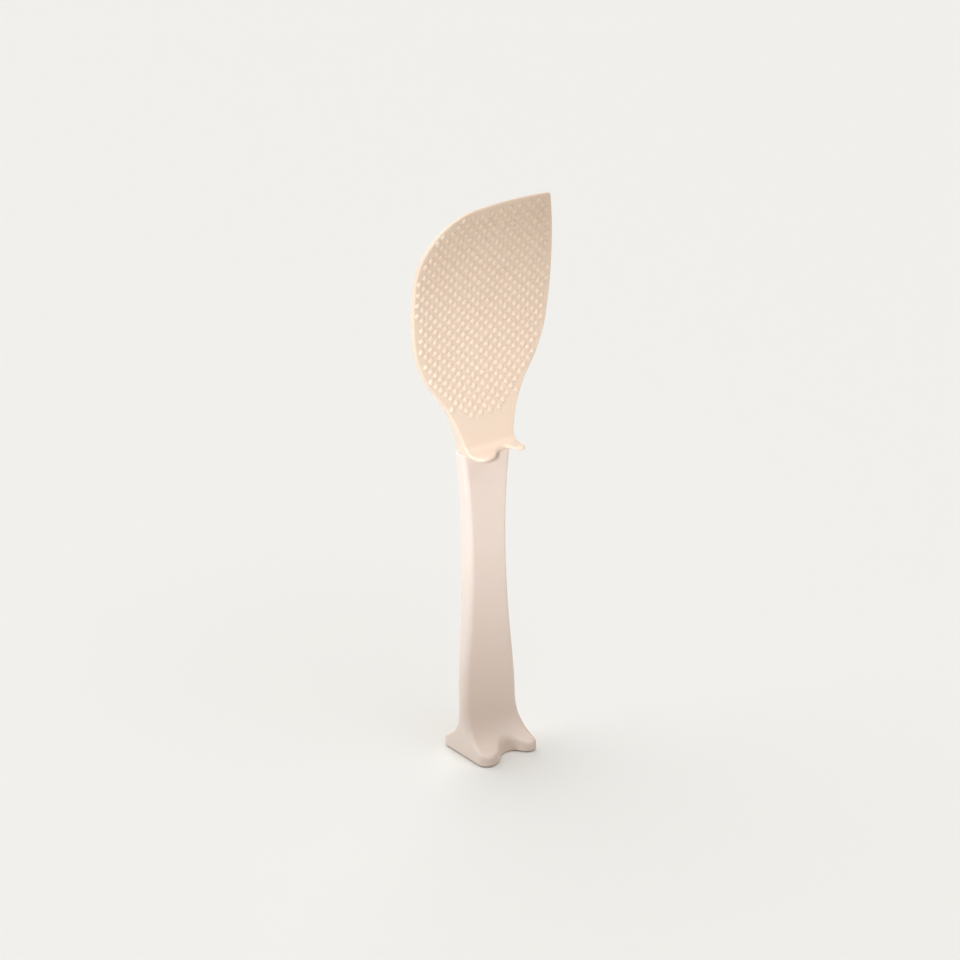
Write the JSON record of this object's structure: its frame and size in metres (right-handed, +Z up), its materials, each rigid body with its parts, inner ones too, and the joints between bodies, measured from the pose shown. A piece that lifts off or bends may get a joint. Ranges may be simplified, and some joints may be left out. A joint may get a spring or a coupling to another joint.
{
  "type": "standing rice paddle",
  "caption": "Rice paddle that stands on its own flared foot: a dished, nubbed blade with a pointed corner on a waisted grip, with a toed ledge at the neck.",
  "frame": {"origin": "middle of the foot's underside, on the surface that the paddle stands on", "axes": "+Z up along the paddle, -Y the way the dished face of the blade looks, +X towards the blade's pointed corner"},
  "size_m": [0.0624, 0.0254, 0.2185],
  "materials": {
    "blade_plastic": "satin moulded polypropylene, pale peach",
    "handle_plastic": "satin moulded polypropylene, pale peach",
    "ballast_steel": "plain blanked steel plate",
    "cover_plastic": "fine matt moulded polypropylene"
  },
  "bodies": {
    "root": {"blade": "blade_plastic", "handle": "handle_plastic", "base_weight": "ballast_steel", "base_cover": "cover_plastic"}
  },
  "joints": []
}
